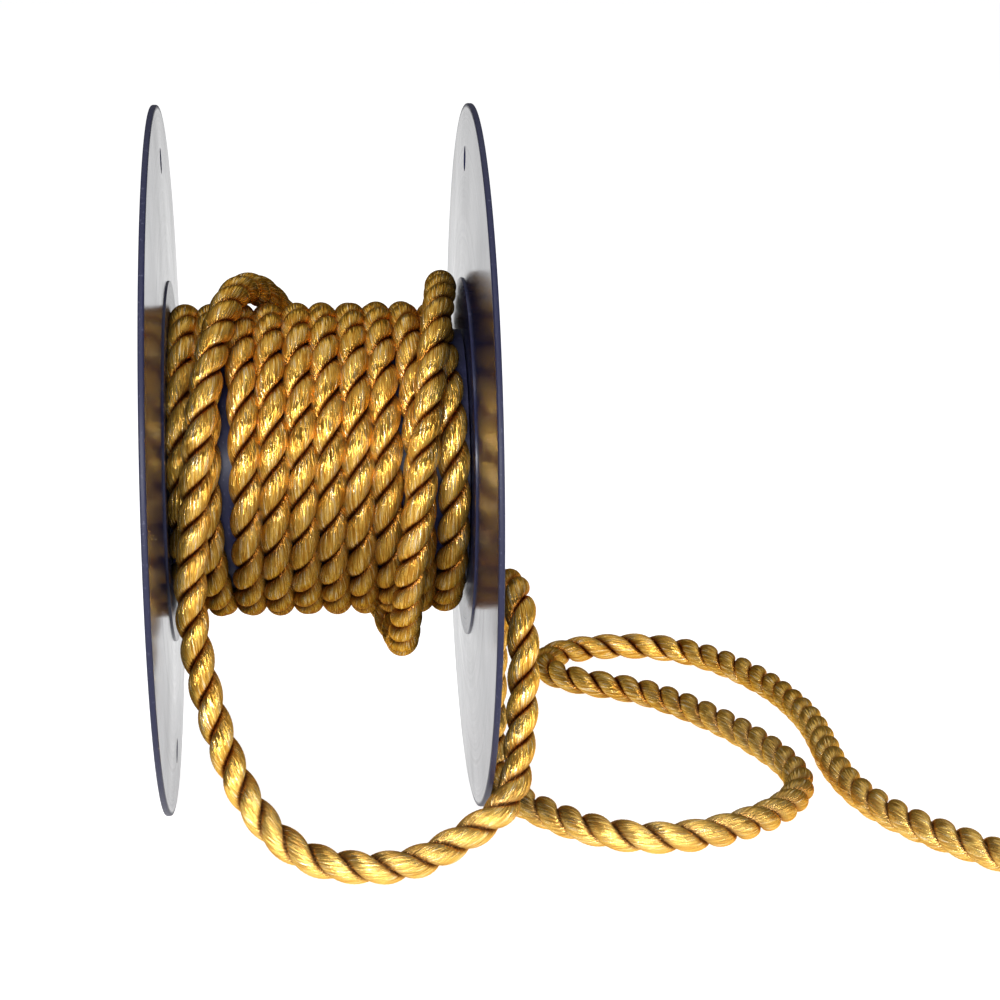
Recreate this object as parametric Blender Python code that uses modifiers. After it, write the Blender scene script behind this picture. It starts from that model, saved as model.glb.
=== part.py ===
"""Gold twisted cord wound on a dark blue plastic reel, with a long loose end.

The reel stands on the rims of its two flanges. Its axis lies along X, the
front is towards -Y, and the origin is on the surface that it stands on.
The loose end leaves the winding as a slack outer turn, crosses to the left,
hangs down in front, loops over the surface, stands up in a bight beside the
right flange and runs away to the right in one wide bend.
"""

from math import ceil, cos, pi, radians, sin, tau

import bmesh
import bpy
from mathutils import Vector

MM = 0.001
SEAT_GAP = 0.3 * MM
MERGE = 0.0001

# Reel
FLANGE_RADIUS = 92.0 * MM
FLANGE_THICKNESS = 2.8 * MM
RIM_THICKNESS = 1.5 * MM
RIM_ROUND = 0.5 * MM
INNER_FACE_X = 38.2 * MM
BOSS_RADIUS = 47.0 * MM
BOSS_HEIGHT = 0.5 * MM
SPINDLE_RADIUS = 15.5 * MM
THREAD_HOLE_RADIUS = 3.3 * MM
THREAD_HOLE_AT = 77.8 * MM
THREAD_HOLE_TURN = radians(4.5)
CORE_RADIUS = 33.5 * MM
CORE_WALL = 2.5 * MM
REST_FLAT_DEPTH = 0.35 * MM
AXIS_HEIGHT = FLANGE_RADIUS - REST_FLAT_DEPTH
REEL_STEPS = 72
HOLE_STEPS = 16

# Cord of two strands
STRAND_CREST = 4.2 * MM
STRAND_WAIST = 3.2 * MM
LAY = 17.6 * MM
RINGS_PER_LAY = 6
CORD_SIDES = 8

# Winding: one row for each turn, its middle at the top, front and bottom (mm)
TURNS = [
    {"top": -34.0, "front": -34.1, "bottom": -33.0},
    {"top": -27.4, "front": -28.6, "bottom": -25.5},
    {"top": -19.8, "front": -18.6, "bottom": -18.1},
    {"top": -12.6, "front": -11.5, "bottom": -10.7},
    {"top": -5.3, "front": -4.5, "bottom": -3.3},
    {"top": 1.4, "front": 2.4, "bottom": 4.1},
    {"top": 8.6, "front": 9.4, "bottom": 11.6},
    {"top": 15.4, "front": 16.5, "bottom": 18.9},
    {"top": 22.4, "front": 24.6, "bottom": 25.6},
    {"top": 30.4, "front": 33.2, "bottom": 32.2},
]
WINDING_BORE = CORE_RADIUS + SEAT_GAP + 0.1 * MM
RIDGE_CREST = 40.4 * MM
RIDGE_SHOULDER = 39.5 * MM
RIDGE_VALLEY = 37.2 * MM
SHOULDER_AT = 2.0 * MM
BARE_VALLEY = 34.8 * MM
BARE_SPACING = 9.0 * MM
TURN_WIDTH = 7.2 * MM
TWIST_RAISE = 0.35 * MM
BUMPS_PER_TURN = 26
RINGS_PER_BUMP = 3

# Loosened turn on the winding: angle from the top over the front, radius, x
SLACK_TURN = [
    (-110, 44.7, 33.0), (-85, 44.7, 33.2), (-55, 44.7, 33.2), (-25, 44.7, 33.0),
    (0, 44.7, 32.2), (30, 44.7, 29.8), (60, 44.7, 26.8), (90, 44.8, 24.2),
    (118, 45.0, 22.1), (143, 46.0, 21.2), (163, 48.0, 21.0), (180, 48.9, 20.5),
    (198, 48.3, 17.6), (218, 46.5, 14.0), (240, 44.9, 10.0), (266, 44.7, 5.0),
    (292, 44.7, -1.2), (315, 44.7, -7.6), (332, 44.7, -12.2), (346, 44.8, -15.8),
    (359, 44.9, -19.0), (372, 44.9, -21.6), (386, 44.8, -23.9), (403, 44.7, -26.4),
    (422, 44.7, -28.6), (441, 44.8, -30.2),
]

# Free route after the winding: x, y, z in mm
HANGING = [
    (-31.4, -45.2, 82.0), (-32.4, -45.6, 70.0), (-32.0, -46.0, 59.0),
    (-30.2, -47.0, 47.6), (-27.6, -48.6, 37.0), (-24.2, -50.8, 27.0),
    (-19.6, -54.4, 17.6), (-12.8, -59.2, 9.8), (-4.6, -64.0, 5.4),
]
FRONT_LOOP = [
    (4.4, -68.0, 4.4), (13.6, -69.6, 4.4), (22.4, -67.8, 5.2), (29.8, -64.8, 7.6),
    (36.6, -62.2, 10.8), (42.6, -59.4, 14.4), (46.6, -54.4, 19.2),
]
STANDING_BIGHT = [
    (48.3, -49.6, 26.8), (49.3, -46.2, 34.8), (49.9, -43.6, 43.0), (50.1, -41.4, 50.6),
    (49.9, -37.8, 57.0), (49.4, -32.0, 61.2), (48.6, -24.8, 62.4), (47.8, -17.4, 60.8),
    (47.0, -10.6, 56.6), (46.4, -4.8, 50.0), (46.1, 0.2, 41.2), (46.0, 3.2, 32.8),
    (46.0, 4.4, 24.0), (46.0, 2.8, 15.4), (46.1, -2.6, 8.6), (46.5, -10.4, 5.0),
]
FLOOR_BEND = [
    (48.2, -19.4), (52.2, -28.6), (57.8, -37.6), (65.4, -46.8), (75.2, -53.6),
    (85.6, -55.6), (96.0, -53.4), (106.0, -48.0), (115.0, -40.6), (122.2, -31.2),
    (126.4, -20.0), (127.0, -8.4), (125.2, 3.8), (121.8, 15.8), (117.2, 28.8),
    (111.0, 42.0), (104.2, 54.0), (96.2, 64.6), (87.6, 71.4), (79.0, 77.2),
    (72.4, 85.0), (69.8, 94.6), (73.0, 104.0), (81.4, 110.4), (93.0, 113.2),
    (105.0, 112.0), (115.2, 106.2), (122.4, 97.8), (128.4, 87.2), (133.0, 75.8),
    (136.6, 63.6), (139.0, 50.6), (140.4, 37.6), (140.6, 24.6), (140.0, 11.4),
    (139.2, -2.0), (139.4, -15.2), (140.9, -28.0), (144.2, -40.4), (149.4, -52.0),
    (156.2, -62.8), (163.8, -73.2), (171.0, -83.8), (176.4, -94.6), (179.0, -103.0),
]
FLOOR_Z = 4.4

# Colours, linear
NAVY = (0.016, 0.018, 0.085, 1.0)
GOLD = (0.47, 0.25, 0.045, 1.0)


def clear_scene():
    for item in list(bpy.data.objects):
        bpy.data.objects.remove(item, do_unlink=True)


def new_collection(name):
    group = bpy.data.collections.new(name)
    bpy.context.scene.collection.children.link(group)
    return group


def new_material(name, colour, roughness, metallic=0.0):
    material = bpy.data.materials.new(name)
    material.use_nodes = True
    shader = material.node_tree.nodes["Principled BSDF"]
    shader.inputs["Base Color"].default_value = colour
    shader.inputs["Roughness"].default_value = roughness
    shader.inputs["Metallic"].default_value = metallic
    return material


def add_object(name, mesh, group, material=None):
    item = bpy.data.objects.new(name, mesh)
    group.objects.link(item)
    if material is not None:
        mesh.materials.append(material)
    return item


def hide_cutter(item):
    item.hide_render = True
    item.display_type = "WIRE"


# Turned pieces


def closed_profile(name, points):
    """Closed loop of edges in the XZ plane, at +X, down its outer side first."""
    mesh = bpy.data.meshes.new(name)
    count = len(points)
    edges = [(i, (i + 1) % count) for i in range(count)]
    mesh.from_pydata([(r, 0.0, z) for r, z in points], edges, [])
    return mesh


def turn_profile(item, steps):
    screw = item.modifiers.new("Turn", "SCREW")
    screw.axis = "Z"
    screw.angle = tau
    screw.steps = steps
    screw.render_steps = steps
    screw.use_merge_vertices = True
    screw.merge_threshold = MERGE
    screw.use_smooth_shade = False


def cut(item, cutter, name):
    boolean = item.modifiers.new(name, "BOOLEAN")
    boolean.operation = "DIFFERENCE"
    boolean.solver = "EXACT"
    boolean.object = cutter


def add_rest_cutter(cutters):
    """Block under the surface, which leaves each rim a small flat to stand on."""
    mesh = bpy.data.meshes.new("rest_cutter")
    shape = bmesh.new()
    bmesh.ops.create_cube(shape, size=1.0)
    width = 4.0 * INNER_FACE_X
    depth = 0.2 * FLANGE_RADIUS
    for vert in shape.verts:
        vert.co.x *= width
        vert.co.y *= FLANGE_RADIUS
        vert.co.z = (vert.co.z - 0.5) * depth
    shape.to_mesh(mesh)
    shape.free()
    cutter = add_object("rest_cutter", mesh, cutters)
    hide_cutter(cutter)
    return cutter


def add_hole_cutter(cutters, name, angle):
    """Rod along X through both flanges, for the small threading holes."""
    mesh = bpy.data.meshes.new(name)
    shape = bmesh.new()
    bmesh.ops.create_cone(shape, cap_ends=True, segments=HOLE_STEPS, radius1=THREAD_HOLE_RADIUS,
                          radius2=THREAD_HOLE_RADIUS, depth=4.0 * INNER_FACE_X)
    shape.to_mesh(mesh)
    shape.free()
    cutter = add_object(name, mesh, cutters)
    cutter.rotation_euler = (0.0, pi / 2, 0.0)
    cutter.location = (0.0, THREAD_HOLE_AT * sin(angle),
                       AXIS_HEIGHT + THREAD_HOLE_AT * cos(angle))
    hide_cutter(cutter)
    return cutter


def add_flange(name, side, group, material, cutters):
    """Disc that thins to its rim, with a raised boss inside and a hole for a spindle."""
    back = -FLANGE_THICKNESS
    rim = back + RIM_THICKNESS
    profile = [
        (BOSS_RADIUS, BOSS_HEIGHT),
        (BOSS_RADIUS, 0.0),
        (FLANGE_RADIUS - RIM_ROUND, rim),
        (FLANGE_RADIUS, rim - RIM_ROUND),
        (FLANGE_RADIUS, back + RIM_ROUND),
        (FLANGE_RADIUS - RIM_ROUND, back),
        (SPINDLE_RADIUS, back),
        (SPINDLE_RADIUS, BOSS_HEIGHT),
    ]
    flange = add_object(name, closed_profile(name, profile), group, material)
    turn_profile(flange, REEL_STEPS)
    flange.rotation_euler = (0.0, -side * pi / 2, 0.0)
    flange.location = (side * INNER_FACE_X, 0.0, AXIS_HEIGHT)
    for cutter in cutters:
        cut(flange, cutter, cutter.name)
    return flange


def add_core(group, material):
    """Plain tube between the two bosses, which carries the winding."""
    half = INNER_FACE_X - BOSS_HEIGHT - SEAT_GAP
    bore = CORE_RADIUS - CORE_WALL
    profile = [(CORE_RADIUS, half), (CORE_RADIUS, -half), (bore, -half), (bore, half)]
    core = add_object("core", closed_profile("core", profile), group, material)
    turn_profile(core, REEL_STEPS)
    core.rotation_euler = (0.0, pi / 2, 0.0)
    core.location = (0.0, 0.0, AXIS_HEIGHT)
    return core


# Surfaces rolled up from a grid


def rolled_grid(name, around, along, place, close_along):
    """Grid of around by along cells whose points are set by place(i, j).

    It is closed around, and along too where close_along says so; an open
    tube gets a flat cap at each end.
    """
    shape = bmesh.new()
    bmesh.ops.create_grid(shape, x_segments=around, y_segments=along, size=0.5)
    columns = around + 1
    for k, vert in enumerate(list(shape.verts)):
        i = k % columns
        j = k // columns
        vert.co = place(i % around, j % along if close_along else j)
    bmesh.ops.remove_doubles(shape, verts=shape.verts, dist=MERGE * 0.01)
    if not close_along:
        rims = [edge for edge in shape.edges if edge.is_boundary]
        bmesh.ops.holes_fill(shape, edges=rims, sides=0)
    bmesh.ops.recalc_face_normals(shape, faces=shape.faces)
    mesh = bpy.data.meshes.new(name)
    shape.to_mesh(mesh)
    shape.free()
    return mesh


# Winding


def on_reel(angle, radius, x):
    """Point at an angle from the top over the front (-Y) and down."""
    return Vector((x, -radius * sin(angle), AXIS_HEIGHT + radius * cos(angle)))


def between(start, end, share):
    ease = share * share * (3.0 - 2.0 * share)
    return start + (end - start) * ease


def turn_middle(row, angle):
    """X of the middle of a turn; each turn closes on itself behind the reel."""
    quarter = pi / 2
    if angle <= quarter:
        return between(row["top"], row["front"], angle / quarter) * MM
    if angle <= pi:
        return between(row["front"], row["bottom"], angle / quarter - 1.0) * MM
    return between(row["bottom"], row["top"], angle / pi - 1.0) * MM


def add_winding(group, material):
    """One ridge for each turn, raised along the twist of its two strands."""
    rings = BUMPS_PER_TURN * RINGS_PER_BUMP
    edge = INNER_FACE_X - BOSS_HEIGHT - SEAT_GAP

    def ridge_points(j):
        angle = tau * j / rings
        middles = [turn_middle(row, angle) for row in TURNS]
        points = [(-edge, RIDGE_VALLEY)]
        for turn, middle in enumerate(middles):
            for side in (-1, 0, 1):
                raised = (j + side) % RINGS_PER_BUMP == 0
                height = RIDGE_SHOULDER if side else RIDGE_CREST
                lift = TWIST_RAISE if raised else -0.5 * TWIST_RAISE
                points.append((middle + side * SHOULDER_AT, height + lift))
            if turn + 1 < len(middles):
                spacing = middles[turn + 1] - middle
                share = min(max((spacing - TURN_WIDTH) / (BARE_SPACING - TURN_WIDTH), 0.0), 1.0)
                valley = RIDGE_VALLEY + (BARE_VALLEY - RIDGE_VALLEY) * share
                points.append((middle + 0.5 * spacing, valley))
        points.append((edge, RIDGE_VALLEY))
        points.append((edge, WINDING_BORE))
        points.append((-edge, WINDING_BORE))
        return [on_reel(angle, radius, x) for x, radius in points]

    table = [ridge_points(j) for j in range(rings)]
    mesh = rolled_grid("wound_cord", len(table[0]), rings, lambda i, j: table[j][i], True)
    return add_object("wound_cord", mesh, group, material)


# Loose end


def loose_route():
    points = [on_reel(radians(a), r * MM, x * MM) for a, r, x in SLACK_TURN]
    points += [Vector(p) * MM for p in HANGING + FRONT_LOOP + STANDING_BIGHT]
    points += [Vector((x, y, FLOOR_Z)) * MM for x, y in FLOOR_BEND]
    return points


def smooth_path(route, step):
    """Catmull-Rom curve through the route, read at even steps along its length."""
    fine = 12
    ends = [2 * route[0] - route[1]] + route + [2 * route[-1] - route[-2]]
    dense = []
    for a, b, c, d in zip(ends, ends[1:], ends[2:], ends[3:]):
        for k in range(fine):
            t = k / fine
            dense.append(0.5 * (2 * b + (c - a) * t + (2 * a - 5 * b + 4 * c - d) * t * t
                                + (3 * b - a - 3 * c + d) * t * t * t))
    dense.append(route[-1].copy())
    lengths = [0.0]
    for a, b in zip(dense, dense[1:]):
        lengths.append(lengths[-1] + (b - a).length)
    count = ceil(lengths[-1] / step)
    path = []
    k = 0
    for n in range(count + 1):
        goal = lengths[-1] * n / count
        while k < len(dense) - 2 and lengths[k + 1] < goal:
            k += 1
        share = (goal - lengths[k]) / (lengths[k + 1] - lengths[k])
        path.append(dense[k].lerp(dense[k + 1], share))
    return path


def carried_frames(path):
    """Tangent, side and up at each point, carried along without any twist."""
    frames = []
    side = None
    for n in range(len(path)):
        tangent = (path[min(n + 1, len(path) - 1)] - path[max(n - 1, 0)]).normalized()
        if side is None:
            side = tangent.orthogonal()
        side = (side - tangent * side.dot(tangent)).normalized()
        frames.append((tangent, side, tangent.cross(side)))
    return frames


def strand_radius(angle):
    """Two round strands side by side: widest across both, waist in the crease."""
    return STRAND_CREST - (STRAND_CREST - STRAND_WAIST) * sin(angle) ** 4


def add_loose_end(group, material):
    """Cord with its two strands laid right-handed, as raised points round a tube."""
    path = smooth_path(loose_route(), LAY / RINGS_PER_LAY)
    frames = carried_frames(path)

    def place(i, j):
        angle = tau * i / CORD_SIDES
        radius = strand_radius(angle - tau * j / RINGS_PER_LAY)
        tangent, side, up = frames[j]
        return path[j] + (side * cos(angle) + up * sin(angle)) * radius

    mesh = rolled_grid("loose_end", CORD_SIDES, len(path) - 1, place, False)
    return add_object("loose_end", mesh, group, material)


def main():
    clear_scene()
    parts = new_collection("gold_cord_reel")
    cutters = new_collection("cutters")
    navy = new_material("navy_plastic", NAVY, 0.18)
    gold = new_material("gold_cord", GOLD, 0.42)
    rest = add_rest_cutter(cutters)
    upper = add_hole_cutter(cutters, "upper_hole_cutter", THREAD_HOLE_TURN)
    lower = add_hole_cutter(cutters, "lower_hole_cutter", THREAD_HOLE_TURN + pi)
    add_flange("flange_left", -1, parts, navy, [rest, upper, lower])
    add_flange("flange_right", 1, parts, navy, [rest, upper, lower])
    add_core(parts, navy)
    add_winding(parts, gold)
    add_loose_end(parts, gold)


main()
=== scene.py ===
"""Gold two-strand cord wound on a dark blue plastic reel, dressed over its plain solids.

The reel stands on its two rims with its axis along X and its front towards -Y.
The cord is one line: ten turns on the core, a slack turn over them, and a loose
end that hangs in front, loops over the surface and runs away to the right.
Sizes are in metres where they are written as x * MM, and plain millimetres in
the tables of the flange faces, of the winding and of the loose route.
"""

from math import ceil, cos, pi, radians, sin, tau

import bmesh
import bpy
from bpy.props import FloatProperty, FloatVectorProperty, IntProperty, PointerProperty
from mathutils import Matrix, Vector


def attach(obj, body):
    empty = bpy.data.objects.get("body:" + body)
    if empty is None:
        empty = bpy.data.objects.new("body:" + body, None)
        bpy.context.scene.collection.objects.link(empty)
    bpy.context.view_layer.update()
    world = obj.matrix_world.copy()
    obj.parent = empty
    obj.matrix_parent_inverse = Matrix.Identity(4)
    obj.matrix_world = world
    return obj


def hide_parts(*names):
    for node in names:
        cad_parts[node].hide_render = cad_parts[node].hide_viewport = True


bl_info = {
    "name": "Cord Reel",
    "version": (1, 0, 0),
    "blender": (4, 5, 0),
    "location": "3D View > Sidebar > Cord Reel",
    "description": "Makes a twisted gold cord on a plastic reel",
    "category": "Add Mesh",
}

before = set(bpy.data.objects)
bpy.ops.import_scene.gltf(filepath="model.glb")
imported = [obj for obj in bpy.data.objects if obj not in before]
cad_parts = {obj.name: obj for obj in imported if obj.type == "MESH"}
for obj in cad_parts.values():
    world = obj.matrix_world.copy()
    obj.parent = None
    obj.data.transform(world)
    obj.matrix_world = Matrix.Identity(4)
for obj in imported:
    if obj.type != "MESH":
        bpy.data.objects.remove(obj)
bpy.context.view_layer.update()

MM = 0.001

# Reel, as in the solids
FLANGE_RADIUS = 92.0 * MM
FLANGE_THICKNESS = 2.8 * MM
RIM_THICKNESS = 1.5 * MM
INNER_FACE_X = 38.2 * MM
BOSS_RADIUS = 47.0 * MM
BOSS_HEIGHT = 0.5 * MM
SPINDLE_RADIUS = 15.5 * MM
THREAD_HOLE_RADIUS = 3.3 * MM
THREAD_HOLE_AT = 77.8 * MM
THREAD_HOLE_TURN = radians(4.5)
CORE_RADIUS = 33.5 * MM
CORE_WALL = 2.5 * MM
CORE_GAP = 0.3 * MM
REST_FLAT_DEPTH = 0.35 * MM
AXIS_HEIGHT = FLANGE_RADIUS - REST_FLAT_DEPTH

# Flange details that the solids leave out. A place on a face is a radius and how far it
# is sunk (mm). Each wide face ends in a narrow one of its own, which keeps its shading flat.
SPINDLE_ROUND = 0.4 * MM
BOSS_ROUND = 0.15 * MM
BOSS_FACE = [(16.2, 0.0), (46.5, 0.0)]
TURNED_RINGS = [51.6, 58.0, 64.4]
RING_SECTION = [(-0.6, 0.0), (-0.35, 0.0), (0.0, 0.035), (0.35, 0.0), (0.6, 0.0)]
INNER_FACE = [(47.05, 0.0), (47.3, 0.0)]
INNER_FACE += [(ring + r, sunk) for ring in TURNED_RINGS for r, sunk in RING_SECTION]
INNER_FACE += [(91.1, 0.0)]
OUTER_FACE = [
    (91.1, 0.0), (86.4, 0.0), (86.0, 0.0), (85.4, 0.3), (85.0, 0.3),
    (27.4, 0.3), (27.0, 0.3), (26.4, 0.0), (26.0, 0.0), (16.3, 0.0),
]

# Winding: one row for each turn, its middle at the top, front and bottom (mm)
TURNS = [
    {"top": -34.0, "front": -34.1, "bottom": -33.0},
    {"top": -27.4, "front": -28.6, "bottom": -25.5},
    {"top": -19.8, "front": -18.6, "bottom": -18.1},
    {"top": -12.6, "front": -11.5, "bottom": -10.7},
    {"top": -5.3, "front": -4.5, "bottom": -3.3},
    {"top": 1.4, "front": 2.4, "bottom": 4.1},
    {"top": 8.6, "front": 9.4, "bottom": 11.6},
    {"top": 15.4, "front": 16.5, "bottom": 18.9},
    {"top": 22.4, "front": 24.6, "bottom": 25.6},
    {"top": 30.4, "front": 33.2, "bottom": 32.2},
]

# From the axis to the middle of the wound cord
WOUND_MIDDLE = 36.9 * MM

# Steps in one turn, and how many of them behind the top the first turn starts
TURN_STEPS = 36
STARTS_BEHIND = 6

# Angles between which the last turn climbs to the slack turn (degrees)
CLIMB_FROM = 200
CLIMB_TO = 250

# Loosened turn on the winding: angle from the top over the front, radius, x
SLACK_TURN = [
    (-110, 44.7, 33.0), (-85, 44.7, 33.2), (-55, 44.7, 33.2), (-25, 44.7, 33.0),
    (0, 44.7, 32.2), (30, 44.7, 29.8), (60, 44.7, 26.8), (90, 44.8, 24.2),
    (118, 45.0, 22.1), (143, 46.0, 21.2), (163, 48.0, 21.0), (180, 48.9, 20.5),
    (198, 48.3, 17.6), (218, 46.5, 14.0), (240, 44.9, 10.0), (266, 44.7, 5.0),
    (292, 44.7, -1.2), (315, 44.7, -7.6), (332, 44.7, -12.2), (346, 44.8, -15.8),
    (359, 44.9, -19.0), (372, 44.9, -21.6), (386, 44.8, -23.9), (403, 44.7, -26.4),
    (422, 44.7, -28.6), (441, 44.8, -30.2),
]

# Free route after the winding: x, y, z in mm
HANGING = [
    (-31.4, -45.2, 82.0), (-32.4, -45.6, 70.0), (-32.0, -46.0, 59.0),
    (-30.2, -47.0, 47.6), (-27.6, -48.6, 37.0), (-24.2, -50.8, 27.0),
    (-19.6, -54.4, 17.6), (-12.8, -59.2, 9.8), (-4.6, -64.0, 5.4),
]
FRONT_LOOP = [
    (4.4, -68.0, 4.4), (13.6, -69.6, 4.4), (22.4, -67.8, 5.2), (29.8, -64.8, 7.6),
    (36.6, -62.2, 10.8), (42.6, -59.4, 14.4), (46.6, -54.4, 19.2),
]
STANDING_BIGHT = [
    (48.3, -49.6, 26.8), (49.3, -46.2, 34.8), (49.9, -43.6, 43.0), (50.1, -41.4, 50.6),
    (49.9, -37.8, 57.0), (49.4, -32.0, 61.2), (48.6, -24.8, 62.4), (47.8, -17.4, 60.8),
    (47.0, -10.6, 56.6), (46.4, -4.8, 50.0), (46.1, 0.2, 41.2), (46.0, 3.2, 32.8),
    (46.0, 4.4, 24.0), (46.0, 2.8, 15.4), (46.1, -2.6, 8.6), (46.5, -10.4, 5.0),
]
FLOOR_BEND = [
    (48.2, -19.4), (52.2, -28.6), (57.8, -37.6), (65.4, -46.8), (75.2, -53.6),
    (85.6, -55.6), (96.0, -53.4), (106.0, -48.0), (115.0, -40.6), (122.2, -31.2),
    (126.4, -20.0), (127.0, -8.4), (125.2, 3.8), (121.8, 15.8), (117.2, 28.8),
    (111.0, 42.0), (104.2, 54.0), (96.2, 64.6), (87.6, 71.4), (79.0, 77.2),
    (72.4, 85.0), (69.8, 94.6), (73.0, 104.0), (81.4, 110.4), (93.0, 113.2),
    (105.0, 112.0), (115.2, 106.2), (122.4, 97.8), (128.4, 87.2), (133.0, 75.8),
    (136.6, 63.6), (139.0, 50.6), (140.4, 37.6), (140.6, 24.6), (140.0, 11.4),
    (139.2, -2.0), (139.4, -15.2), (140.9, -28.0), (144.2, -40.4), (149.4, -52.0),
    (156.2, -62.8), (163.8, -73.2), (171.0, -83.8), (176.4, -94.6), (179.0, -103.0),
]
FLOOR_Z = 4.4

# Unevenness: waves along the cord, each a length over tau and a start. The section
# varies by a share of what the lay does.
LAY_WAVES = [(21.0 * MM, 0.0), (8.7 * MM, 2.0)]
SECTION_WAVES = [(13.0 * MM, 1.0), (6.1 * MM, 0.0)]
SECTION_SHARE = 0.25

# Full twists over which the winding's lay changes to that of the loose end
LAY_CHANGE = 2.0

# Spans over which the cord's painted light and shade change: down the winding, down to the floor,
# out beside the right flange, and away behind the reel to the last painted shade
DOWN_WINDING = (AXIS_HEIGHT + 18.0 * MM, AXIS_HEIGHT - 18.0 * MM)
DOWN_TO_FLOOR = (30.0 * MM, 8.0 * MM)
OUT_BESIDE = (40.0 * MM, 46.0 * MM)
AWAY_BEHIND = (15.0 * MM, 65.0 * MM)
# Painted shade: the colour of the cord behind the reel is darkened to this
FAR_PAINTED_SHADE = 0.9

# Section of the cord: how its points crowd at the crease, and how the height above the
# crease and the shade on one side of it change away from there
CROWDING = 0.35
CREST_RISE = -0.36
LEE_FADE = -2.9
LEE_GAIN = 3.0

# Streaks of the yarn: noise scale across and along the filaments, and its detail. The
# fine and the broad ones are mixed, and the swaying ones tip the gloss sideways.
FINE_STREAKS = (20.0, 200.0, 2.0)
FINE_SHARE = 0.6
BROAD_STREAKS = (6.0, 110.0, 1.0)
BROAD_SHARE = 0.4
SWAYING_STREAKS = (14.0, 180.0, 1.0)
SWAY = 1.2

# Spans of the mixed streaks over which the yarn's colours and its roughness change
DARK_SPAN = (0.38, 0.54)
PALE_SPAN = (0.55, 0.69)
GLOSS_SPAN = (0.3, 0.7)
YARN_ROUGHNESS = (0.30, 0.25)

# Spans of the height above a crease over which the red-brown and the dark painted shade give way to
# the yarn's colour, and how much painted shade one side of the crease has besides
RED_SHADE_SPAN = (0.2, 0.8)
SHADE_SPAN = (0.0, 0.6)
LEE_SHARE = 0.8

# Light that the floor throws back at the cord lying on it
FLOOR_LIGHT = (0.95, 0.76, 0.30)
FLOOR_LIGHT_SHARE = 0.16

# Plastic: roughness and specular level on a flange, on its boss and on the core
FINISHES = {"navy_gloss": (0.08, 0.25), "navy_boss": (0.16, 0.15), "navy_satin": (0.3, 0.15)}

# Marks on the plastic: noise scales of the turning marks, the cloudy dullness and the
# dust, what they add, and the radii between which a flange's rim gets duller
TURNING_SCALE = 900.0
TURNING_ROUGHNESS = 0.05
CLOUD_SCALE = 38.0
CLOUD_ROUGHNESS = 0.14
SPECK_SCALE = 1400.0
DUST_SPAN = (0.66, 0.74)
DUST_SHARE = 0.35
DUST_COLOUR = (0.10, 0.10, 0.16)
DULL_RIM_SPAN = (90.8 * MM, 91.5 * MM)
DULL_RIM_ROUGHNESS = 0.3

# Turned edges steeper than this are shaded as sharp ones
SHARP_ANGLE = radians(28)

# Camera and stage: the camera's angles are in degrees, and the floor lies a hair below
# the rims
CAMERA_PLACE = (-0.00583, -0.6128, 0.2213)
CAMERA_DOWN = 12.98
CAMERA_RIGHT = 5.0
REEL_MIDDLE = (0.0, 0.0, 0.09)
FLOOR_DROP = 0.1 * MM
FLOOR_GLOW = 0.93
WORLD_GLOW = 0.13
HORIZON_GLOW = 0.1


class CordSettings(bpy.types.PropertyGroup):
    wound_lay: FloatProperty(
        name="Wound Lay", description="Length of one full twist in the winding",
        default=0.0190, min=0.008, max=0.040, unit="LENGTH")
    loose_lay: FloatProperty(
        name="Loose Lay", description="Length of one full twist in the loose end",
        default=0.0174, min=0.008, max=0.040, unit="LENGTH")
    crest: FloatProperty(
        name="Crest", description="From the cord's middle to the top of a strand",
        default=0.00415, min=0.001, max=0.008, unit="LENGTH")
    waist: FloatProperty(
        name="Waist",
        description="From the cord's middle to where the strands meet, without the crease",
        default=0.0029, min=0.001, max=0.008, unit="LENGTH")
    crease_depth: FloatProperty(
        name="Crease Depth", description="How deep the crease between the strands goes",
        default=0.0010, min=0.0, max=0.004, unit="LENGTH")
    crease_width: FloatProperty(
        name="Crease Width", description="Angle over which a strand rolls down into the crease",
        default=radians(8.0), min=radians(2.0), max=radians(40.0), subtype="ANGLE")
    unevenness: FloatProperty(
        name="Unevenness", description="How much the lay varies along the cord, as a share of it",
        default=0.025, min=0.0, max=0.2, subtype="FACTOR")
    # Painted shade: darkens the colour of the winding's lower side
    under_painted_shade: FloatProperty(
        name="Under Tone", description="Brightness of the winding's lower side against its front",
        default=0.54, min=0.2, max=1.0, subtype="FACTOR")
    # Painted light: brightens the colour of the bight beside the right flange
    bight_painted_light: FloatProperty(
        name="Bight Tone", description="Brightness of the bight against the winding's front",
        default=1.15, min=0.5, max=1.5, subtype="FACTOR")
    # Painted light: brightens the colour of the cord lying on the floor
    floor_painted_light: FloatProperty(
        name="Floor Tone",
        description="Brightness of the cord on the floor against the winding's front",
        default=1.05, min=0.5, max=1.5, subtype="FACTOR")
    sides: IntProperty(
        name="Sides", description="Points round the cord", default=48, min=16, max=80)
    rings_per_lay: IntProperty(
        name="Rings per Lay", description="Rings in one full twist", default=18, min=8, max=32)
    gold: FloatVectorProperty(
        name="Gold", description="Colour of the yarn in full light",
        default=(0.84, 0.51, 0.09), size=3, min=0.0, max=1.0, subtype="COLOR")
    dark_streak: FloatVectorProperty(
        name="Dark Streak", description="Colour of the sunken filaments",
        default=(0.50, 0.21, 0.022), size=3, min=0.0, max=1.0, subtype="COLOR")
    pale_streak: FloatVectorProperty(
        name="Pale Streak", description="Colour of the filaments that stand out",
        default=(0.97, 0.82, 0.56), size=3, min=0.0, max=1.0, subtype="COLOR")
    # Painted shade: red-brown where the yarn rolls down into a crease
    red_crease_shade: FloatVectorProperty(
        name="Rust", description="Colour of the yarn that rolls down into a crease",
        default=(0.32, 0.11, 0.015), size=3, min=0.0, max=1.0, subtype="COLOR")
    shade: FloatVectorProperty(
        name="Shade", description="Colour of the yarn deep in a crease",
        default=(0.085, 0.013, 0.0015), size=3, min=0.0, max=1.0, subtype="COLOR")


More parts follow.
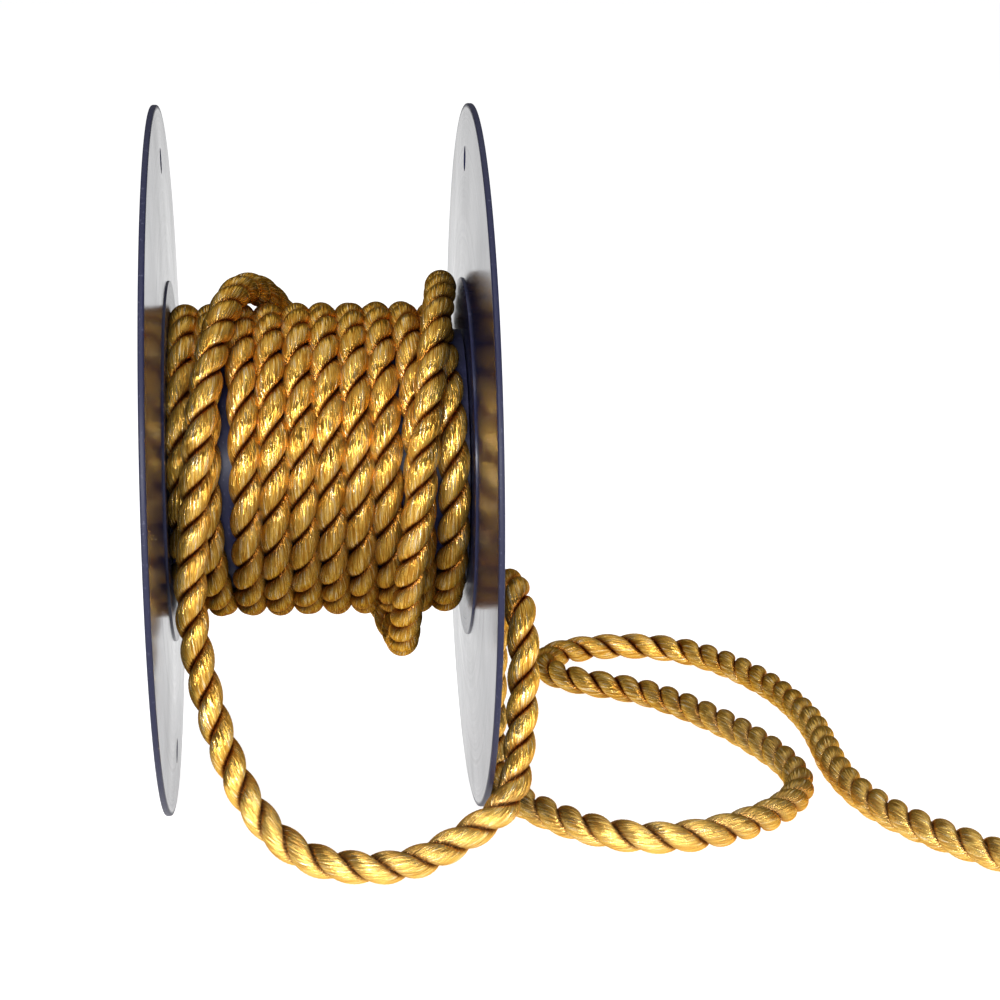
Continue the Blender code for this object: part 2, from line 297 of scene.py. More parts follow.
class ReelSettings(bpy.types.PropertyGroup):
    steps: IntProperty(
        name="Steps", description="Steps round a turned piece", default=256, min=48, max=512)
    rim_round: FloatProperty(
        name="Rim Round", description="Radius of the rounded rim edges",
        default=0.0005, min=0.0001, max=0.0007, unit="LENGTH")
    navy: FloatVectorProperty(
        name="Navy", description="Colour of the moulded plastic",
        default=(0.010, 0.011, 0.036), size=3, min=0.0, max=1.0, subtype="COLOR")


class StageSettings(bpy.types.PropertyGroup):
    floor_size: FloatProperty(
        name="Floor Size", description="Side of the square floor", default=36.0, min=2.0, max=40.0,
        unit="LENGTH")
    floor_colour: FloatVectorProperty(
        name="Floor Colour", description="Colour of the floor, which also glows evenly",
        default=(0.50, 0.50, 0.50), size=3, min=0.0, max=1.0, subtype="COLOR")


# Node trees


def add_node(tree, kind, inputs=None, **settings):
    """Node of one kind; an input is a value, or an output socket to link from."""
    node = tree.nodes.new(kind)
    for name, value in settings.items():
        setattr(node, name, value)
    for name, value in (inputs or {}).items():
        socket = node.inputs[name]
        if isinstance(value, bpy.types.NodeSocket):
            tree.links.new(value, socket)
        else:
            socket.default_value = value
    return node


def maths(tree, operation, *values):
    """Output of a math node; each value is a number or an output socket."""
    node = tree.nodes.new("ShaderNodeMath")
    node.operation = operation
    for socket, value in zip(node.inputs, values):
        if isinstance(value, bpy.types.NodeSocket):
            tree.links.new(value, socket)
        else:
            socket.default_value = value
    return node.outputs[0]


def new_material(name):
    material = bpy.data.materials.new(name)
    material.use_nodes = True
    tree = material.node_tree
    shader = tree.nodes["Principled BSDF"]
    return material, tree, shader


# Line of the cord


def on_reel(angle, radius, x):
    """Point at an angle from the top over the front (-Y) and down."""
    return Vector((x, -radius * sin(angle), AXIS_HEIGHT + radius * cos(angle)))


def between(start, end, share):
    """Value on the way from start to end, which sets off and arrives gently."""
    share = min(max(share, 0.0), 1.0)
    ease = share * share * (3.0 - 2.0 * share)
    return start + (end - start) * ease


def passed(value, span):
    """Share of a span, from its first to its last value, that a value has passed."""
    first, last = span
    return (value - first) / (last - first)


def waves(run, rows):
    """Sum of sine waves at a distance along the cord."""
    return sum(sin(run / length + start) for length, start in rows)


def turn_middle(turn, angle):
    """X of the middle of a turn; behind the reel it crosses over to the next."""
    row = TURNS[turn]
    quarter = pi / 2
    if angle <= quarter:
        return between(row["top"], row["front"], angle / quarter) * MM
    if angle <= pi:
        return between(row["front"], row["bottom"], angle / quarter - 1.0) * MM
    onward = TURNS[turn + 1]["top"] if turn + 1 < len(TURNS) else SLACK_TURN[0][2]
    return between(row["bottom"], onward, angle / pi - 1.0) * MM


def wound_line():
    """Points of the ten turns, and of the climb to the start of the slack turn."""
    points = []
    for turn in range(len(TURNS)):
        for k in range(0 if turn else -STARTS_BEHIND, TURN_STEPS):
            degrees = 360.0 * k / TURN_STEPS
            radius = WOUND_MIDDLE
            if turn + 1 == len(TURNS):
                if degrees >= CLIMB_TO:
                    break
                share = (degrees - CLIMB_FROM) / (CLIMB_TO - CLIMB_FROM)
                radius = between(WOUND_MIDDLE, SLACK_TURN[0][1] * MM, share)
            points.append(on_reel(radians(degrees), radius, turn_middle(turn, radians(degrees))))
    return points


def loose_line():
    """Points of the slack turn and of the free route to the bare end."""
    points = [on_reel(radians(a), r * MM, x * MM) for a, r, x in SLACK_TURN]
    points += [Vector(p) * MM for p in HANGING + FRONT_LOOP + STANDING_BIGHT]
    points += [Vector((x, y, FLOOR_Z)) * MM for x, y in FLOOR_BEND]
    return points


def smooth_path(route, step):
    """Catmull-Rom curve through the route, read at even steps along its length."""
    fine = 12
    ends = [2 * route[0] - route[1]] + route + [2 * route[-1] - route[-2]]
    dense = []
    for a, b, c, d in zip(ends, ends[1:], ends[2:], ends[3:]):
        for k in range(fine):
            t = k / fine
            dense.append(0.5 * (2 * b + (c - a) * t + (2 * a - 5 * b + 4 * c - d) * t * t
                                + (3 * b - a - 3 * c + d) * t * t * t))
    dense.append(route[-1].copy())
    lengths = [0.0]
    for a, b in zip(dense, dense[1:]):
        lengths.append(lengths[-1] + (b - a).length)
    count = ceil(lengths[-1] / step)
    path = []
    k = 0
    for n in range(count + 1):
        goal = lengths[-1] * n / count
        while k < len(dense) - 2 and lengths[k + 1] < goal:
            k += 1
        share = (goal - lengths[k]) / (lengths[k + 1] - lengths[k])
        path.append(dense[k].lerp(dense[k + 1], share))
    return path


def whole_cord(settings):
    """The cord's one line, with its side vector, twist, size, distance, painted light and shade,
    and painted floor light at each point.

    Returns the list of points and the place where the loose end starts in it.
    """
    step = settings.loose_lay / settings.rings_per_lay
    wound = wound_line()
    loose = loose_line()
    path = smooth_path(wound + loose, step)
    start = min(range(len(path)), key=lambda n: (path[n] - loose[0]).length)
    points = []
    side = None
    twist = 0.0
    run = 0.0
    for n, place in enumerate(path):
        before = path[max(n - 1, 0)]
        after = path[min(n + 1, len(path) - 1)]
        tangent = (after - before).normalized()
        if side is None:
            side = tangent.orthogonal()
        side = (side - tangent * side.dot(tangent)).normalized()
        share = (n - start) / (LAY_CHANGE * settings.rings_per_lay) + 1.0
        lay = between(settings.wound_lay, settings.loose_lay, share)
        lay *= 1.0 + settings.unevenness * waves(run, LAY_WAVES)
        if n:
            stretch = (place - path[n - 1]).length
            run += stretch
            twist += tau * stretch / lay
        size = 1.0 + SECTION_SHARE * settings.unevenness * waves(run, SECTION_WAVES)
        # Painted light and shade by place, which scales the colour: darker down the winding and
        # behind the reel, lighter beside the right flange and on the floor
        down = passed(place.z, DOWN_TO_FLOOR)
        far = passed(place.y, AWAY_BEHIND)
        wound = between(1.0, settings.under_painted_shade, passed(place.z, DOWN_WINDING))
        free = between(1.0, settings.bight_painted_light, passed(place.x, OUT_BESIDE))
        free = between(between(free, settings.floor_painted_light, down), FAR_PAINTED_SHADE, far)
        points.append({"at": place, "side": side.copy(), "twist": twist, "size": size, "run": run,
                       "painted_shading": between(wound, free, share),
                       "painted_floor_bounce": between(between(0.0, 1.0, down), 0.0, far)})
    return points, start


# Strands swept along the line


def strand_tree():
    """Geometry Nodes that lay two flattened strands round a line of points."""
    tree = bpy.data.node_groups.new("two_strand_cord", "GeometryNodeTree")
    sockets = tree.interface
    sockets.new_socket("Geometry", in_out="INPUT", socket_type="NodeSocketGeometry")
    for name, kind in (("Crest", "DISTANCE"), ("Waist", "DISTANCE"), ("Crease Depth", "DISTANCE"),
                       ("Crease Width", "ANGLE")):
        socket = sockets.new_socket(name, in_out="INPUT", socket_type="NodeSocketFloat")
        socket.subtype = kind
    sockets.new_socket("Sides", in_out="INPUT", socket_type="NodeSocketInt")
    sockets.new_socket("Material", in_out="INPUT", socket_type="NodeSocketMaterial")
    sockets.new_socket("Geometry", in_out="OUTPUT", socket_type="NodeSocketGeometry")
    given = tree.nodes.new("NodeGroupInput").outputs

    def calc(operation, *values):
        return maths(tree, operation, *values)

    def read(name, kind="FLOAT"):
        return add_node(tree, "GeometryNodeInputNamedAttribute", {"Name": name},
                        data_type=kind).outputs[0]

    def store(geometry, name, value, kind="FLOAT"):
        return add_node(tree, "GeometryNodeStoreNamedAttribute",
                        {"Geometry": geometry, "Name": name, "Value": value},
                        data_type=kind, domain="POINT").outputs[0]

    line = add_node(tree, "GeometryNodeMeshToCurve", {"Mesh": given["Geometry"]}).outputs[0]
    line = add_node(tree, "GeometryNodeSetCurveNormal",
                    {"Curve": line, "Normal": read("side", "FLOAT_VECTOR")}, mode="FREE").outputs[0]
    line = add_node(tree, "GeometryNodeSetCurveTilt",
                    {"Curve": line, "Tilt": read("twist")}).outputs[0]
    tangent = tree.nodes.new("GeometryNodeInputTangent").outputs[0]
    line = store(line, "filament", tangent, "FLOAT_VECTOR")

    # The section: aside is the angle away from the nearer of the two creases
    ring = add_node(tree, "GeometryNodeCurvePrimitiveCircle",
                    {"Resolution": given["Sides"], "Radius": 1.0}, mode="RADIUS").outputs[0]
    index = tree.nodes.new("GeometryNodeInputIndex").outputs[0]
    even = calc("ADD", calc("DIVIDE", calc("MULTIPLY", index, tau), given["Sides"]), pi / 2)
    crowd = calc("MULTIPLY", calc("SINE", calc("MULTIPLY", even, 2.0)), CROWDING)
    ring = store(ring, "bearing", calc("ADD", even, crowd))
    bearing = read("bearing")
    aside = calc("ARCSINE", calc("ABSOLUTE", calc("COSINE", bearing)))
    near = calc("DIVIDE", aside, given["Crease Width"])
    notch = calc("EXPONENT", calc("MULTIPLY", near, -1.0))
    crest = calc("SUBTRACT", 1.0, calc("EXPONENT", calc("MULTIPLY", near, CREST_RISE)))
    ring = store(ring, "crest", crest)
    # Mask of the painted shade on one side of each crease, fading away from it
    one_side = calc("MAXIMUM", calc("SINE", calc("MULTIPLY", bearing, 2.0)), 0.0)
    fade = calc("EXPONENT", calc("MULTIPLY", aside, LEE_FADE))
    painted_lee_shade = calc("MULTIPLY", calc("MULTIPLY", one_side, fade), LEE_GAIN)
    ring = store(ring, "painted_lee_shade", painted_lee_shade)
    low = calc("POWER", calc("SUBTRACT", 1.0, calc("DIVIDE", aside, pi / 2)), 2.0)
    drop = calc("MULTIPLY", low, calc("SUBTRACT", given["Crest"], given["Waist"]))
    groove = calc("MULTIPLY", notch, given["Crease Depth"])
    radius = calc("SUBTRACT", given["Crest"], calc("ADD", drop, groove))
    place = add_node(tree, "ShaderNodeCombineXYZ",
                     {"X": calc("MULTIPLY", calc("COSINE", bearing), radius),
                      "Y": calc("MULTIPLY", calc("SINE", bearing), radius)}).outputs[0]
    ring = add_node(tree, "GeometryNodeSetPosition",
                    {"Geometry": ring, "Position": place}).outputs[0]

    mesh = add_node(tree, "GeometryNodeCurveToMesh",
                    {"Curve": line, "Profile Curve": ring, "Scale": read("size"),
                     "Fill Caps": True}).outputs[0]
    mesh = add_node(tree, "GeometryNodeSetShadeSmooth", {"Geometry": mesh}).outputs[0]
    mesh = add_node(tree, "GeometryNodeRealizeInstances", {"Geometry": mesh}).outputs[0]
    mesh = add_node(tree, "GeometryNodeSetMaterial",
                    {"Geometry": mesh, "Material": given["Material"]}).outputs[0]
    out = tree.nodes.new("NodeGroupOutput")
    tree.links.new(mesh, out.inputs[0])
    return tree


def line_mesh(name, points):
    """Edges from point to point, carrying what the strands need to know."""
    mesh = bpy.data.meshes.new(name)
    mesh.from_pydata([p["at"] for p in points], [(n, n + 1) for n in range(len(points) - 1)], [])
    for key in ("twist", "size", "run", "painted_shading", "painted_floor_bounce"):
        values = mesh.attributes.new(key, "FLOAT", "POINT").data
        values.foreach_set("value", [p[key] for p in points])
    sides = mesh.attributes.new("side", "FLOAT_VECTOR", "POINT").data
    sides.foreach_set("vector", [c for p in points for c in p["side"]])
    return mesh


def sweep_cord(name, points, settings, material, tree):
    """Plain mesh of both strands along the points."""
    item = bpy.data.objects.new(name, line_mesh(name + "_line", points))
    bpy.context.scene.collection.objects.link(item)
    modifier = item.modifiers.new("Strands", "NODES")
    modifier.node_group = tree
    values = {
        "Crest": settings.crest,
        "Waist": settings.waist,
        "Crease Depth": settings.crease_depth,
        "Crease Width": settings.crease_width,
        "Sides": settings.sides,
        "Material": material,
    }
    for socket in tree.interface.items_tree:
        if socket.in_out == "INPUT" and socket.name in values:
            modifier[socket.identifier] = values[socket.name]
    seen = item.evaluated_get(bpy.context.evaluated_depsgraph_get())
    mesh = bpy.data.meshes.new_from_object(seen)
    mesh.name = name
    item.modifiers.remove(modifier)
    old = item.data
    item.data = mesh
    bpy.data.meshes.remove(old)
    shape = bmesh.new()
    shape.from_mesh(mesh)
    bmesh.ops.recalc_face_normals(shape, faces=shape.faces)
    shape.to_mesh(mesh)
    shape.free()
    return item


def gold_material(settings):
    """Silky yarn: fine streaks along the filaments, which also turn the gloss."""
    material, tree, shader = new_material("gold_satin")

    def read(name):
        return add_node(tree, "ShaderNodeAttribute", attribute_name=name,
                        attribute_type="GEOMETRY").outputs

    turned = maths(tree, "ADD", read("bearing")["Fac"], read("twist")["Fac"])
    run = read("run")["Fac"]
    crest = read("crest")["Fac"]

    def streaks(fine, long, detail):
        place = add_node(tree, "ShaderNodeCombineXYZ",
                         {"X": maths(tree, "MULTIPLY", turned, fine),
                          "Y": maths(tree, "MULTIPLY", run, long)}).outputs[0]
        return add_node(tree, "ShaderNodeTexNoise",
                        {"Vector": place, "Scale": 1.0, "Detail": detail, "Roughness": 0.6},
                        noise_dimensions="2D").outputs[0]

    def ramp(value, low, high, start=0.0, end=1.0):
        return add_node(tree, "ShaderNodeMapRange",
                        {"Value": value, "From Min": low, "From Max": high, "To Min": start,
                         "To Max": end}, interpolation_type="SMOOTHSTEP").outputs[0]

    def blend(share, first, second):
        colour = add_node(tree, "ShaderNodeMix", data_type="RGBA")
        tree.links.new(share, colour.inputs["Factor"])
        for socket, value in ((colour.inputs[6], first), (colour.inputs[7], second)):
            if isinstance(value, bpy.types.NodeSocket):
                tree.links.new(value, socket)
            else:
                socket.default_value = (*value, 1.0)
        return colour.outputs[2]

    fine = maths(tree, "MULTIPLY", streaks(*FINE_STREAKS), FINE_SHARE)
    broad = maths(tree, "MULTIPLY", streaks(*BROAD_STREAKS), BROAD_SHARE)
    mixed = maths(tree, "ADD", fine, broad)
    colour = blend(ramp(mixed, *DARK_SPAN), settings.dark_streak, settings.gold)
    colour = blend(ramp(mixed, *PALE_SPAN), colour, settings.pale_streak)
    # Painted shade on one side of each crease
    painted_lee_shade = maths(tree, "MULTIPLY", read("painted_lee_shade")["Fac"], LEE_SHARE)
    colour = blend(painted_lee_shade, colour, settings.shade)
    # Painted shade in the creases: red-brown where the yarn rolls down into them, dark deep in them
    colour = blend(ramp(crest, *RED_SHADE_SPAN), settings.red_crease_shade, colour)
    colour = blend(ramp(crest, *SHADE_SPAN), settings.shade, colour)
    # Painted light: the floor's bounce light on the cord near the floor
    painted_floor_bounce = maths(tree, "MULTIPLY", read("painted_floor_bounce")["Fac"], FLOOR_LIGHT_SHARE)
    colour = blend(painted_floor_bounce, colour, FLOOR_LIGHT)
    # Painted light and shade by place scale the colour
    colour = add_node(tree, "ShaderNodeVectorMath",
                      {"Vector": colour, "Scale": read("painted_shading")["Fac"]},
                      operation="SCALE").outputs[0]
    tree.links.new(colour, shader.inputs["Base Color"])
    tree.links.new(ramp(mixed, *GLOSS_SPAN, *YARN_ROUGHNESS), shader.inputs["Roughness"])
    bump = add_node(tree, "ShaderNodeBump",
                    {"Strength": 1.0, "Distance": 0.2 * MM, "Height": mixed}).outputs[0]
    sway = maths(tree, "SUBTRACT", streaks(*SWAYING_STREAKS), 0.5)
    sway = maths(tree, "MULTIPLY", sway, SWAY)
    filament = read("filament")["Vector"]
    tipped = add_node(tree, "ShaderNodeVectorMath", {"Vector": filament, "Scale": sway},
                      operation="SCALE").outputs[0]
    normal = tree.nodes.new("ShaderNodeVectorMath")
    tree.links.new(bump, normal.inputs[0])
    tree.links.new(tipped, normal.inputs[1])
    normal = add_node(tree, "ShaderNodeVectorMath", {"Vector": normal.outputs[0]},
                      operation="NORMALIZE").outputs[0]
    tree.links.new(normal, shader.inputs["Normal"])
    tree.links.new(filament, shader.inputs["Tangent"])
    shader.inputs["Metallic"].default_value = 0.9
    shader.inputs["Specular Tint"].default_value = (0.9, 0.5, 0.15, 1.0)
    shader.inputs["Anisotropic"].default_value = 1.0
    shader.inputs["Anisotropic Rotation"].default_value = 0.25
    shader.inputs["IOR"].default_value = 1.5
    return material


# Turned plastic


def turned_shape(name, profile, steps, centre_x, side):
    """Closed profile of (radius, depth) turned round the reel's axis.

    Depth runs from the inner face towards the middle of the reel.
    """
    count = len(profile)
    shape = bmesh.new()
    rings = []
    for k in range(steps):
        angle = tau * k / steps
        rings.append([shape.verts.new((centre_x - side * depth, -radius * sin(angle),
                                       AXIS_HEIGHT + radius * cos(angle)))
                      for radius, depth in profile])
    for k in range(steps):
        here = rings[k]
        there = rings[(k + 1) % steps]
        for n in range(count):
            m = (n + 1) % count
            shape.faces.new((here[n], here[m], there[m], there[n]))
    bmesh.ops.recalc_face_normals(shape, faces=shape.faces)
    mesh = bpy.data.meshes.new(name)
    shape.to_mesh(mesh)
    shape.free()
    return mesh


def rounded(corner, before, after, radius, steps=4):
    """Points of a quarter-round in place of a profile's corner."""
    corner = Vector(corner)
    a = corner + (Vector(before) - corner).normalized() * radius
    b = corner + (Vector(after) - corner).normalized() * radius
    points = []
    for k in range(steps + 1):
        t = k / steps
        points.append(tuple((1 - t) ** 2 * a + 2 * t * (1 - t) * corner + t * t * b))
    return points


def flange_profile(settings):
    """Section of a flange: boss, faint turned rings, thin rounded rim and spindle hole."""
    back = -FLANGE_THICKNESS
    rim_face = back + RIM_THICKNESS
    rim = settings.rim_round
    slope = rim_face / (FLANGE_RADIUS - BOSS_RADIUS)
    points = rounded((SPINDLE_RADIUS, BOSS_HEIGHT), (SPINDLE_RADIUS, back),
                     (BOSS_RADIUS, BOSS_HEIGHT), SPINDLE_ROUND)
    points += [(r * MM, BOSS_HEIGHT - sunk * MM) for r, sunk in BOSS_FACE]
    points += rounded((BOSS_RADIUS, BOSS_HEIGHT), (SPINDLE_RADIUS, BOSS_HEIGHT),
                      (BOSS_RADIUS, 0.0), BOSS_ROUND)
    points += [(r * MM, slope * (r * MM - BOSS_RADIUS) - sunk * MM) for r, sunk in INNER_FACE]
    points += rounded((FLANGE_RADIUS, rim_face), (BOSS_RADIUS, 0.0), (FLANGE_RADIUS, back), rim)
    points += rounded((FLANGE_RADIUS, back), (FLANGE_RADIUS, rim_face), (SPINDLE_RADIUS, back), rim)
    points += [(r * MM, back + sunk * MM) for r, sunk in OUTER_FACE]
    points += rounded((SPINDLE_RADIUS, back), (FLANGE_RADIUS, back),
                      (SPINDLE_RADIUS, BOSS_HEIGHT), SPINDLE_ROUND)
    return points


def bore_threading_holes(item, side):
    """The two small holes that the cord's ends are threaded through."""
    rod = bmesh.new()
    for angle in (THREAD_HOLE_TURN, THREAD_HOLE_TURN + pi):
        back = THREAD_HOLE_AT * sin(angle)
        height = AXIS_HEIGHT + THREAD_HOLE_AT * cos(angle)
        made = bmesh.ops.create_cone(rod, cap_ends=True, segments=40, radius1=THREAD_HOLE_RADIUS,
                                     radius2=THREAD_HOLE_RADIUS, depth=4.0 * FLANGE_THICKNESS)
        for vert in made["verts"]:
            x, y, z = vert.co
            vert.co = (side * (INNER_FACE_X + 0.5 * FLANGE_THICKNESS) + z, back + y, height + x)
    bmesh.ops.recalc_face_normals(rod, faces=rod.faces)
    mesh = bpy.data.meshes.new("threading_holes")
    rod.to_mesh(mesh)
    rod.free()
    cutter = bpy.data.objects.new("threading_holes", mesh)
    bpy.context.scene.collection.objects.link(cutter)
    boolean = item.modifiers.new("Holes", "BOOLEAN")
    boolean.operation = "DIFFERENCE"
    boolean.solver = "EXACT"
    boolean.object = cutter
    seen = item.evaluated_get(bpy.context.evaluated_depsgraph_get())
    done = bpy.data.meshes.new_from_object(seen)
    item.modifiers.remove(boolean)
    old = item.data
    item.data = done
    bpy.data.meshes.remove(old)
    bpy.data.objects.remove(cutter)


def finish_turned(item, material, boss_material=None):
    """Flat resting edge, shading and material; a boss can have a material of its own."""
    mesh = item.data
    for vert in mesh.vertices:
        vert.co.z = max(vert.co.z, 0.0)
    mesh.materials.clear()
    mesh.materials.append(material)
    if boss_material:
        mesh.materials.append(boss_material)
        boss_side = INNER_FACE_X - 0.01 * MM
        for face in mesh.polygons:
            face.material_index = int(abs(face.center.x) < boss_side)
    mesh.shade_smooth()
    mesh.set_sharp_from_angle(angle=SHARP_ANGLE)


def navy_material(settings, name):
    """Moulded plastic with faint turning marks and a little dust, duller at a flange's rim."""
    material, tree, shader = new_material(name)
    roughness, specular_level = FINISHES[name]
    place = add_node(tree, "ShaderNodeTexCoord").outputs["Object"]
    centred = add_node(tree, "ShaderNodeMapping",
                       {"Vector": place, "Location": (0.0, 0.0, -AXIS_HEIGHT)}).outputs[0]
    parts = add_node(tree, "ShaderNodeSeparateXYZ", {"Vector": centred}).outputs
    radius = maths(tree, "SQRT", maths(tree, "ADD", maths(tree, "MULTIPLY", parts["Y"], parts["Y"]),
                                       maths(tree, "MULTIPLY", parts["Z"], parts["Z"])))
    rings = add_node(tree, "ShaderNodeTexNoise",
                     {"W": maths(tree, "MULTIPLY", radius, TURNING_SCALE), "Scale": 1.0,
                      "Detail": 2.0}, noise_dimensions="1D").outputs[0]
    cloud = add_node(tree, "ShaderNodeTexNoise",
                     {"Vector": centred, "Scale": CLOUD_SCALE, "Detail": 3.0}).outputs[0]
    speck = add_node(tree, "ShaderNodeTexNoise",
                     {"Vector": centred, "Scale": SPECK_SCALE, "Detail": 1.0}).outputs[0]
    dust = add_node(tree, "ShaderNodeMapRange",
                    {"Value": speck, "From Min": DUST_SPAN[0], "From Max": DUST_SPAN[1],
                     "To Min": 0.0, "To Max": DUST_SHARE}).outputs[0]
    colour = add_node(tree, "ShaderNodeMix", data_type="RGBA")
    tree.links.new(dust, colour.inputs["Factor"])
    colour.inputs[6].default_value = (*settings.navy, 1.0)
    colour.inputs[7].default_value = (*DUST_COLOUR, 1.0)
    tree.links.new(colour.outputs[2], shader.inputs["Base Color"])
    matt = maths(tree, "ADD", maths(tree, "MULTIPLY", cloud, CLOUD_ROUGHNESS),
                 maths(tree, "MULTIPLY", rings, TURNING_ROUGHNESS))
    rim = add_node(tree, "ShaderNodeMapRange",
                   {"Value": radius, "From Min": DULL_RIM_SPAN[0], "From Max": DULL_RIM_SPAN[1],
                    "To Min": roughness, "To Max": roughness + DULL_RIM_ROUGHNESS}).outputs[0]
    tree.links.new(maths(tree, "ADD", matt, rim), shader.inputs["Roughness"])
    bump = add_node(tree, "ShaderNodeBump",
                    {"Strength": 0.12, "Distance": 0.04 * MM, "Height": rings})
    tree.links.new(bump.outputs[0], shader.inputs["Normal"])
    shader.inputs["IOR"].default_value = 1.52
    shader.inputs["Specular IOR Level"].default_value = specular_level
    return material


def plain_object(name, mesh):
    item = bpy.data.objects.new(name, mesh)
    bpy.context.scene.collection.objects.link(item)
    return item


class CORDREEL_OT_camera(bpy.types.Operator):
    """Camera in front of the reel, a little above it"""
    bl_idname = "cordreel.camera"
    bl_label = "Camera"

    def execute(self, context):
        data = bpy.data.cameras.new("front_camera")
        data.lens = 85.5
        data.sensor_width = 36.0
        data.clip_start = 0.01
        camera = bpy.data.objects.new("front_camera", data)
        camera.location = CAMERA_PLACE
        camera.rotation_euler = (radians(90.0 - CAMERA_DOWN), 0.0, radians(-CAMERA_RIGHT))
        context.scene.collection.objects.link(camera)
        context.scene.camera = camera
        return {"FINISHED"}


class CORDREEL_OT_cord(bpy.types.Operator):
    """Both strands of the cord, wound on the core and lying loose"""
    bl_idname = "cordreel.cord"
    bl_label = "Cord"

    def execute(self, context):
        settings = context.scene.cord_settings
        material = gold_material(settings)
        tree = strand_tree()
        points, start = whole_cord(settings)
        loose = sweep_cord("loose_cord", points[start:], settings, material, tree)
        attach(loose, "root")
        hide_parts("loose_end")
        half = start // 2
        for name, first, last in (("first_turns", 0, half), ("last_turns", half, start)):
            wound = sweep_cord(name, points[first:last + 1], settings, material, tree)
            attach(wound, "root")
            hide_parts("wound_cord")
        return {"FINISHED"}


class CORDREEL_OT_flanges(bpy.types.Operator):
    """The two turned flanges with their threading holes"""
    bl_idname = "cordreel.flanges"
    bl_label = "Flanges"

    def execute(self, context):
        settings = context.scene.reel_settings
        material = navy_material(settings, "navy_gloss")
        boss_material = navy_material(settings, "navy_boss")
        for name, side in (("left", -1), ("right", 1)):
            mesh = turned_shape(name + "_disc", flange_profile(settings), settings.steps,
                                side * INNER_FACE_X, side)
            disc = plain_object(name + "_disc", mesh)
            bore_threading_holes(disc, side)
            finish_turned(disc, material, boss_material)
            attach(disc, "root")
            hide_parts("flange_" + name)
        return {"FINISHED"}


class CORDREEL_OT_core(bpy.types.Operator):
    """The core tube between the flanges"""
    bl_idname = "cordreel.core"
    bl_label = "Core"

    def execute(self, context):
        settings = context.scene.reel_settings
        material = navy_material(settings, "navy_satin")
        half = INNER_FACE_X - BOSS_HEIGHT - CORE_GAP
        bore = CORE_RADIUS - CORE_WALL
        profile = [(CORE_RADIUS, half), (CORE_RADIUS, -half), (bore, -half), (bore, half)]
        core = plain_object("core_tube", turned_shape("core_tube", profile, settings.steps, 0.0, 1))
        finish_turned(core, material)
        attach(core, "root")
        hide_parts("core")
        return {"FINISHED"}


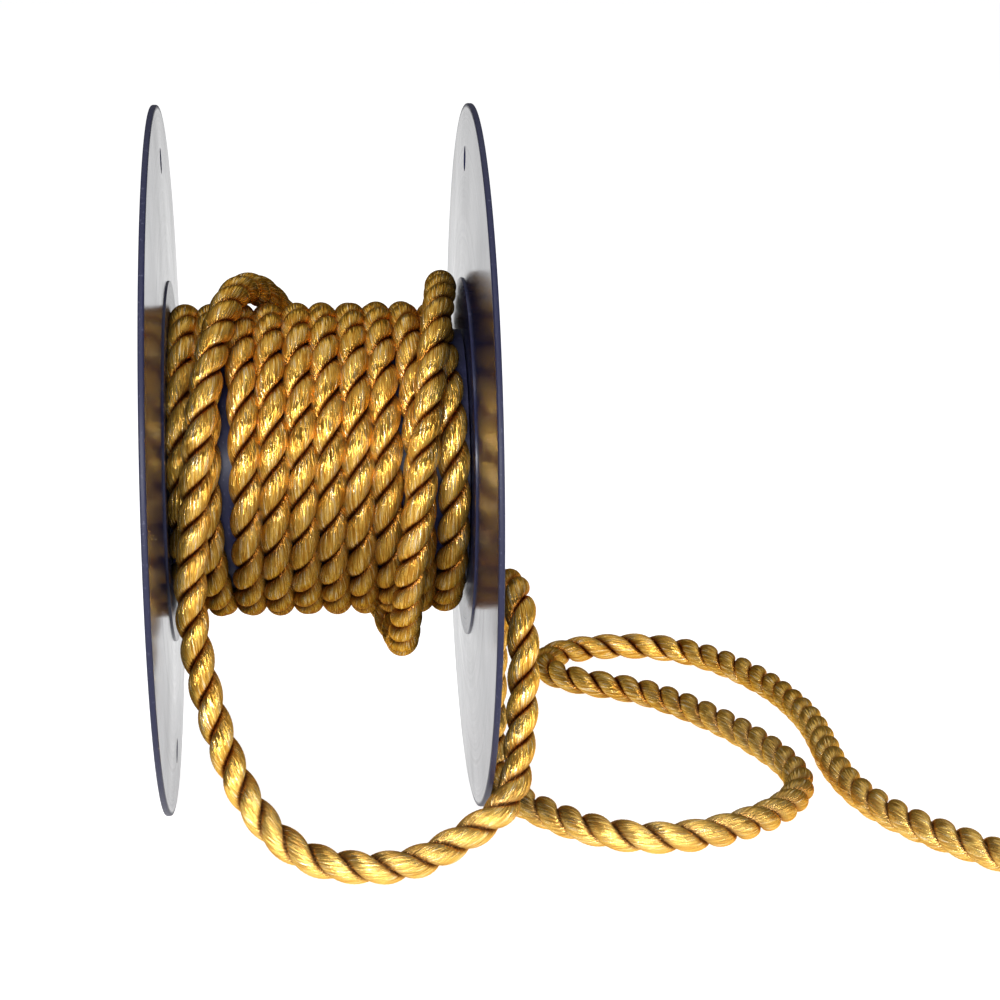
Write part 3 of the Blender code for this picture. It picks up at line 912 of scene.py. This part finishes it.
class CORDREEL_OT_stage(bpy.types.Operator):
    """Pale floor and soft studio light"""
    bl_idname = "cordreel.stage"
    bl_label = "Stage"

    def execute(self, context):
        settings = context.scene.stage_settings
        scene = context.scene
        half = 0.5 * settings.floor_size
        corners = [(-half, -half), (half, -half), (half, half), (-half, half)]
        mesh = bpy.data.meshes.new("floor")
        mesh.from_pydata([(x, y, -FLOOR_DROP) for x, y in corners], [], [(0, 1, 2, 3)])
        floor = plain_object("floor", mesh)
        material, tree, shader = new_material("pale_floor")
        shader.inputs["Base Color"].default_value = (*settings.floor_colour, 1.0)
        shader.inputs["Roughness"].default_value = 0.9
        shader.inputs["Specular IOR Level"].default_value = 0.1
        shader.inputs["Emission Color"].default_value = (1.0, 1.0, 1.0, 1.0)
        shader.inputs["Emission Strength"].default_value = FLOOR_GLOW
        mesh.materials.append(material)

        world = bpy.data.worlds.new("studio")
        scene.world = world
        world.use_nodes = True
        tree = world.node_tree
        way = tree.nodes.new("ShaderNodeTexCoord").outputs["Generated"]
        parts = add_node(tree, "ShaderNodeSeparateXYZ", {"Vector": way}).outputs

        # The world glows a little more low down and behind the reel
        low = add_node(tree, "ShaderNodeMapRange",
                       {"Value": parts["Z"], "From Min": 0.65, "From Max": 0.0, "To Min": 0.0,
                        "To Max": 1.0}, interpolation_type="SMOOTHSTEP").outputs[0]
        back = add_node(tree, "ShaderNodeMapRange",
                        {"Value": parts["Y"], "From Min": -0.5, "From Max": 0.3, "To Min": 0.15,
                         "To Max": 1.0}, interpolation_type="SMOOTHSTEP").outputs[0]
        horizon = maths(tree, "MULTIPLY", low, back)
        glow = maths(tree, "MULTIPLY_ADD", horizon, HORIZON_GLOW, WORLD_GLOW)
        background = tree.nodes["Background"]
        background.inputs["Color"].default_value = (1.0, 1.0, 1.0, 1.0)
        tree.links.new(glow, background.inputs["Strength"])

        def soft_light(name, place, aim, width, height, power):
            data = bpy.data.lights.new(name, "AREA")
            data.shape = "RECTANGLE"
            data.size = width
            data.size_y = height
            data.energy = power
            lamp = bpy.data.objects.new(name, data)
            lamp.location = place
            lamp.rotation_euler = (Vector(aim) - Vector(place)).to_track_quat("-Z", "Y").to_euler()
            scene.collection.objects.link(lamp)

        soft_light("front_window", (-0.3, -2.0, 0.45), REEL_MIDDLE,
                   width=0.8, height=0.13, power=42.0)
        soft_light("top_window", (-0.3, -1.0, 1.6), REEL_MIDDLE,
                   width=1.0, height=0.1, power=9.0)
        soft_light("right_window", (1.3, -1.3, 0.5), REEL_MIDDLE,
                   width=1.0, height=0.15, power=10.0)
        soft_light("floor_wash", (0.0, 0.3, 1.8), (0.0, 0.3, 0.0),
                   width=2.4, height=2.4, power=14.0)
        scene.view_settings.view_transform = "Standard"
        scene.view_settings.look = "None"
        return {"FINISHED"}


class CORDREEL_PT_panel(bpy.types.Panel):
    bl_idname = "CORDREEL_PT_panel"
    bl_label = "Cord Reel"
    bl_space_type = "VIEW_3D"
    bl_region_type = "UI"
    bl_category = "Cord Reel"

    def draw(self, context):
        scene = context.scene
        for group, operators in (
            (scene.cord_settings, (CORDREEL_OT_cord,)),
            (scene.reel_settings, (CORDREEL_OT_flanges, CORDREEL_OT_core)),
            (scene.stage_settings, (CORDREEL_OT_camera, CORDREEL_OT_stage)),
        ):
            box = self.layout.box()
            for name in group.bl_rna.properties.keys():
                if name not in ("rna_type", "name"):
                    box.prop(group, name)
            for operator in operators:
                box.operator(operator.bl_idname)


CLASSES = (
    CordSettings,
    ReelSettings,
    StageSettings,
    CORDREEL_OT_camera,
    CORDREEL_OT_cord,
    CORDREEL_OT_flanges,
    CORDREEL_OT_core,
    CORDREEL_OT_stage,
    CORDREEL_PT_panel,
)


def register():
    for item in CLASSES:
        bpy.utils.register_class(item)
    bpy.types.Scene.cord_settings = PointerProperty(type=CordSettings)
    bpy.types.Scene.reel_settings = PointerProperty(type=ReelSettings)
    bpy.types.Scene.stage_settings = PointerProperty(type=StageSettings)


def unregister():
    del bpy.types.Scene.stage_settings
    del bpy.types.Scene.reel_settings
    del bpy.types.Scene.cord_settings
    for item in reversed(CLASSES):
        bpy.utils.unregister_class(item)


def main():
    register()
    bpy.ops.cordreel.camera()
    bpy.ops.cordreel.cord()
    bpy.ops.cordreel.flanges()
    bpy.ops.cordreel.core()
    bpy.ops.cordreel.stage()
    bpy.context.view_layer.update()


if __name__ == "__main__":
    main()
